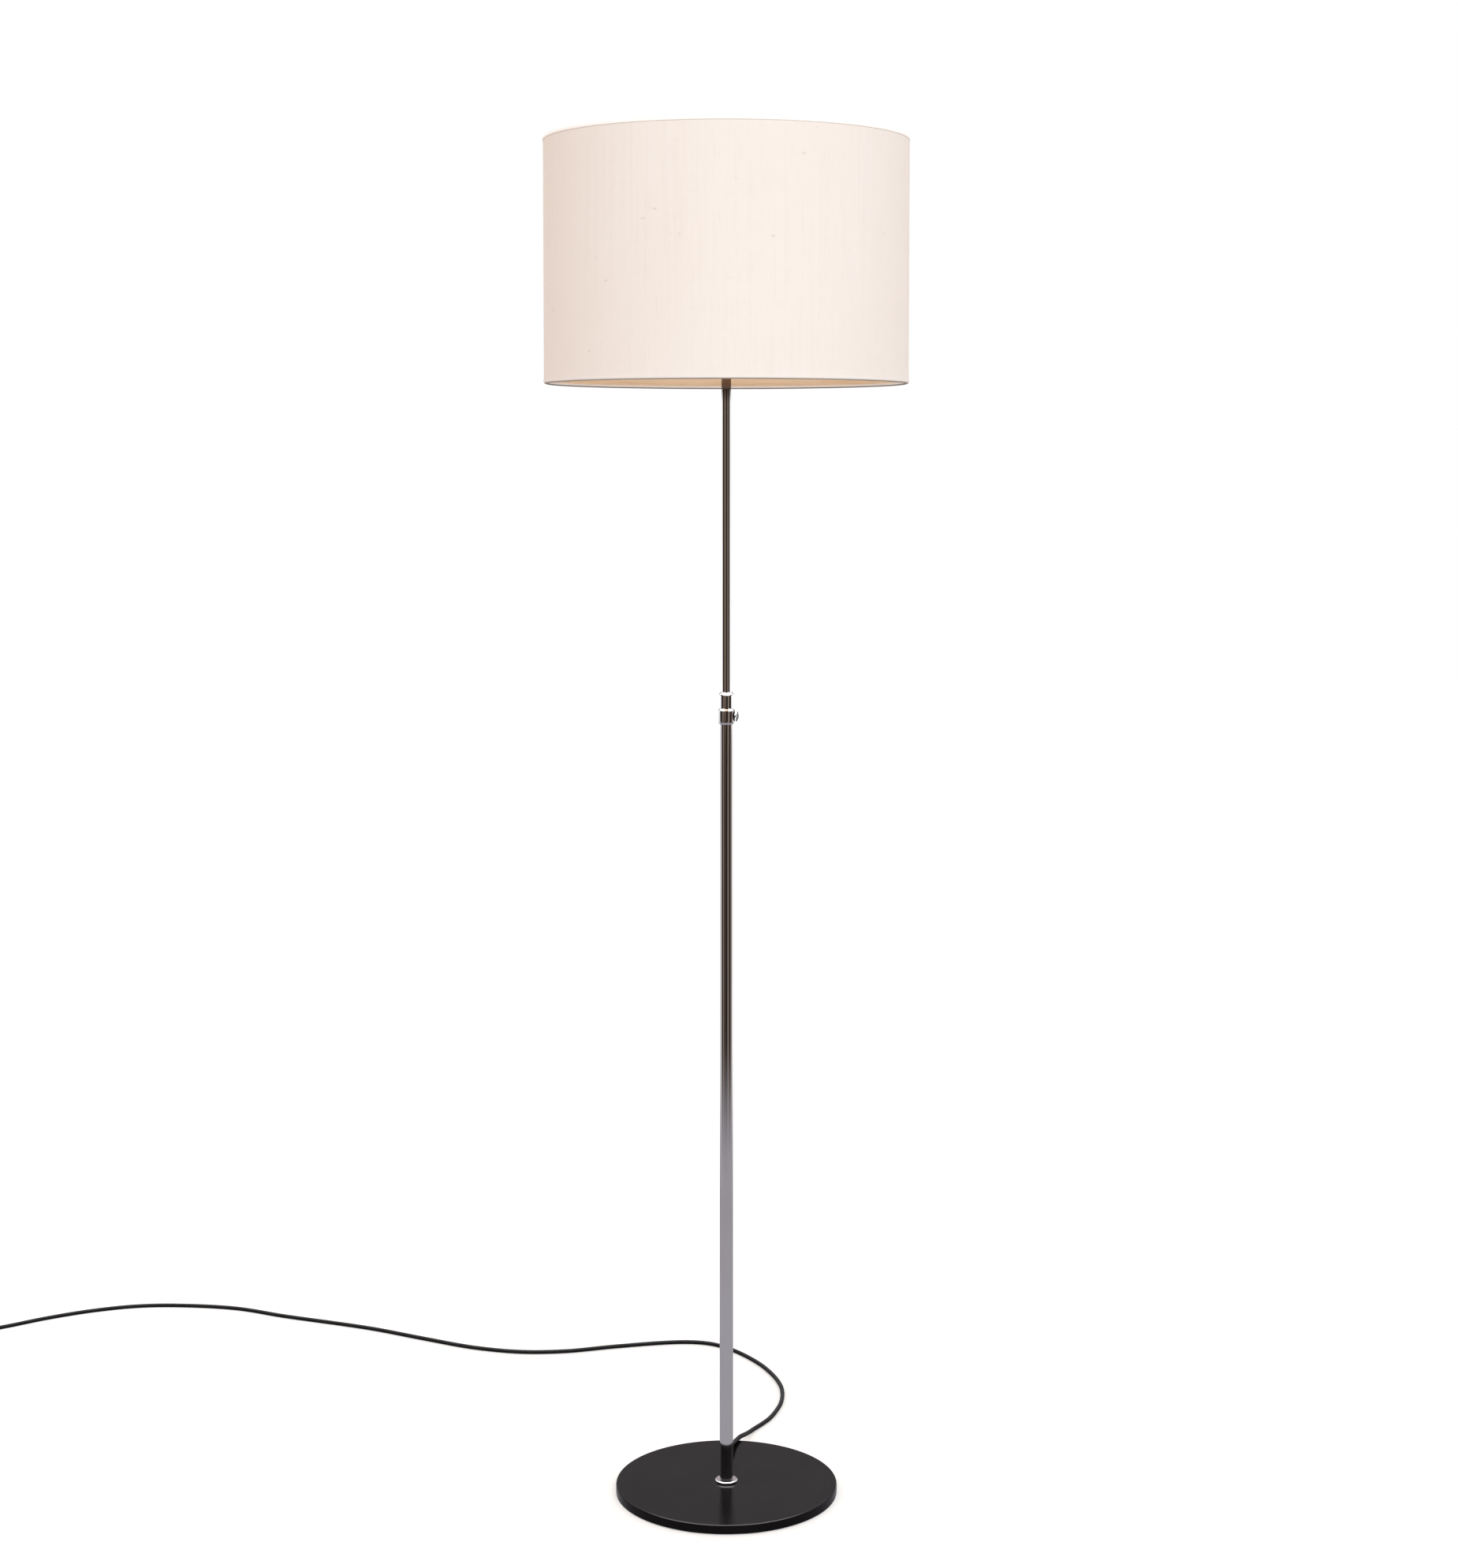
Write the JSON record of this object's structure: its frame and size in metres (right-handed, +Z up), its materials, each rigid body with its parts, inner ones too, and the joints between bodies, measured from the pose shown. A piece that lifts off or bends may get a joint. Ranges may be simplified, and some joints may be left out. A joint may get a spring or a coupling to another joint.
{
  "type": "floor lamp",
  "caption": "Telescopic floor lamp: round weighted base, two chromed tubes held by a thumb screw, drum shade on a threaded lampholder, mains cord with flat plug.",
  "frame": {"origin": "centre of the base's underside, on the floor under the mast", "axes": "+Z up the mast, +Y to the back where the cord leaves, +X to the thumb screw's side"},
  "size_m": [1.501, 0.9497, 1.7],
  "materials": {
    "black_lacquer": "satin black lacquer",
    "cast_iron": "rough casting",
    "felt": "pressed felt",
    "chrome": "bright chrome plate",
    "dark_chrome": "dark nickel plate",
    "steel": "zinc plated",
    "brass": "plain brass",
    "nylon": "natural nylon",
    "black_moulding": "moulded black resin",
    "white_moulding": "white insulating block",
    "bulb_metal": "nickel plated",
    "bulb_glass": "frosted inside",
    "white_wire": "white coated wire",
    "shade_fabric": "cream slub cloth",
    "shade_liner": "matt liner",
    "cord_sheath": "black sheath",
    "cord_rubber": "black rubber",
    "plug_moulding": "moulded black plastic"
  },
  "bodies": {
    "stand": {"base_cover": "black_lacquer", "base_weight": "cast_iron", "base_felt": "felt", "foot_ring": "chrome", "foot_insert": "steel", "foot_washer": "steel", "foot_nut": "steel", "outer_tube": "chrome", "cord_bush": "cord_rubber", "clamp_collar": "chrome", "top_bush": "chrome", "lead_elbow": "cord_sheath", "lower_lead": "cord_sheath", "cord_run": "cord_sheath", "cord_coil": "cord_sheath", "cord_tie": "cord_rubber", "plug_body": "plug_moulding", "plug_pins": "bulb_metal"},
    "guide": {"guide_bush": "nylon"},
    "mast": {"inner_tube": "chrome", "upper_lead": "cord_sheath", "nipple": "steel", "holder_cap": "black_moulding", "holder_shell": "black_moulding", "holder_core": "white_moulding", "terminal_screws": "brass", "lead_cores": "cord_sheath", "socket_sleeve": "brass", "centre_contact": "brass", "lower_clamp_ring": "black_moulding", "upper_clamp_ring": "black_moulding", "bulb_cap": "bulb_metal", "bulb_glass": "bulb_glass", "fitter_ring": "white_wire", "fitter_arms": "white_wire", "shade_top_ring": "white_wire", "shade_bottom_ring": "white_wire", "shade_fabric": "shade_fabric", "shade_liner": "shade_liner"},
    "slug": {"clamp_slug": "brass"},
    "screw": {"thumb_screw": "dark_chrome"},
    "switch": {"switch_bar": "black_moulding"}
  },
  "joints": [
    {"name": "mast_slide", "type": "slide", "parent": "stand", "child": "guide", "axis": [0, 0, 1], "range_m": [-0.45, 0.085], "deforming": ["lower_lead"]},
    {"name": "mast_turn", "type": "hinge", "parent": "guide", "child": "mast", "pos_m": [0, 0, 0.9], "axis": [0, 0, 1], "range_deg": [-175, 175]},
    {"name": "screw_feed", "type": "slide", "parent": "stand", "child": "slug", "axis": [1, 0, 0], "range_m": [0, 0.0016]},
    {"name": "screw_turn", "type": "hinge", "parent": "slug", "child": "screw", "pos_m": [0.0113, 0, 0.98795], "axis": [1, 0, 0], "range_deg": [0, 720]},
    {"name": "switch_push", "type": "slide", "parent": "mast", "child": "switch", "axis": [0, 1, 0], "range_m": [-0.0025, 0.0025]}
  ],
  "couplings": [
    {"joint": "screw_turn", "follows": "screw_feed", "rad_per_m": 7854}
  ]
}
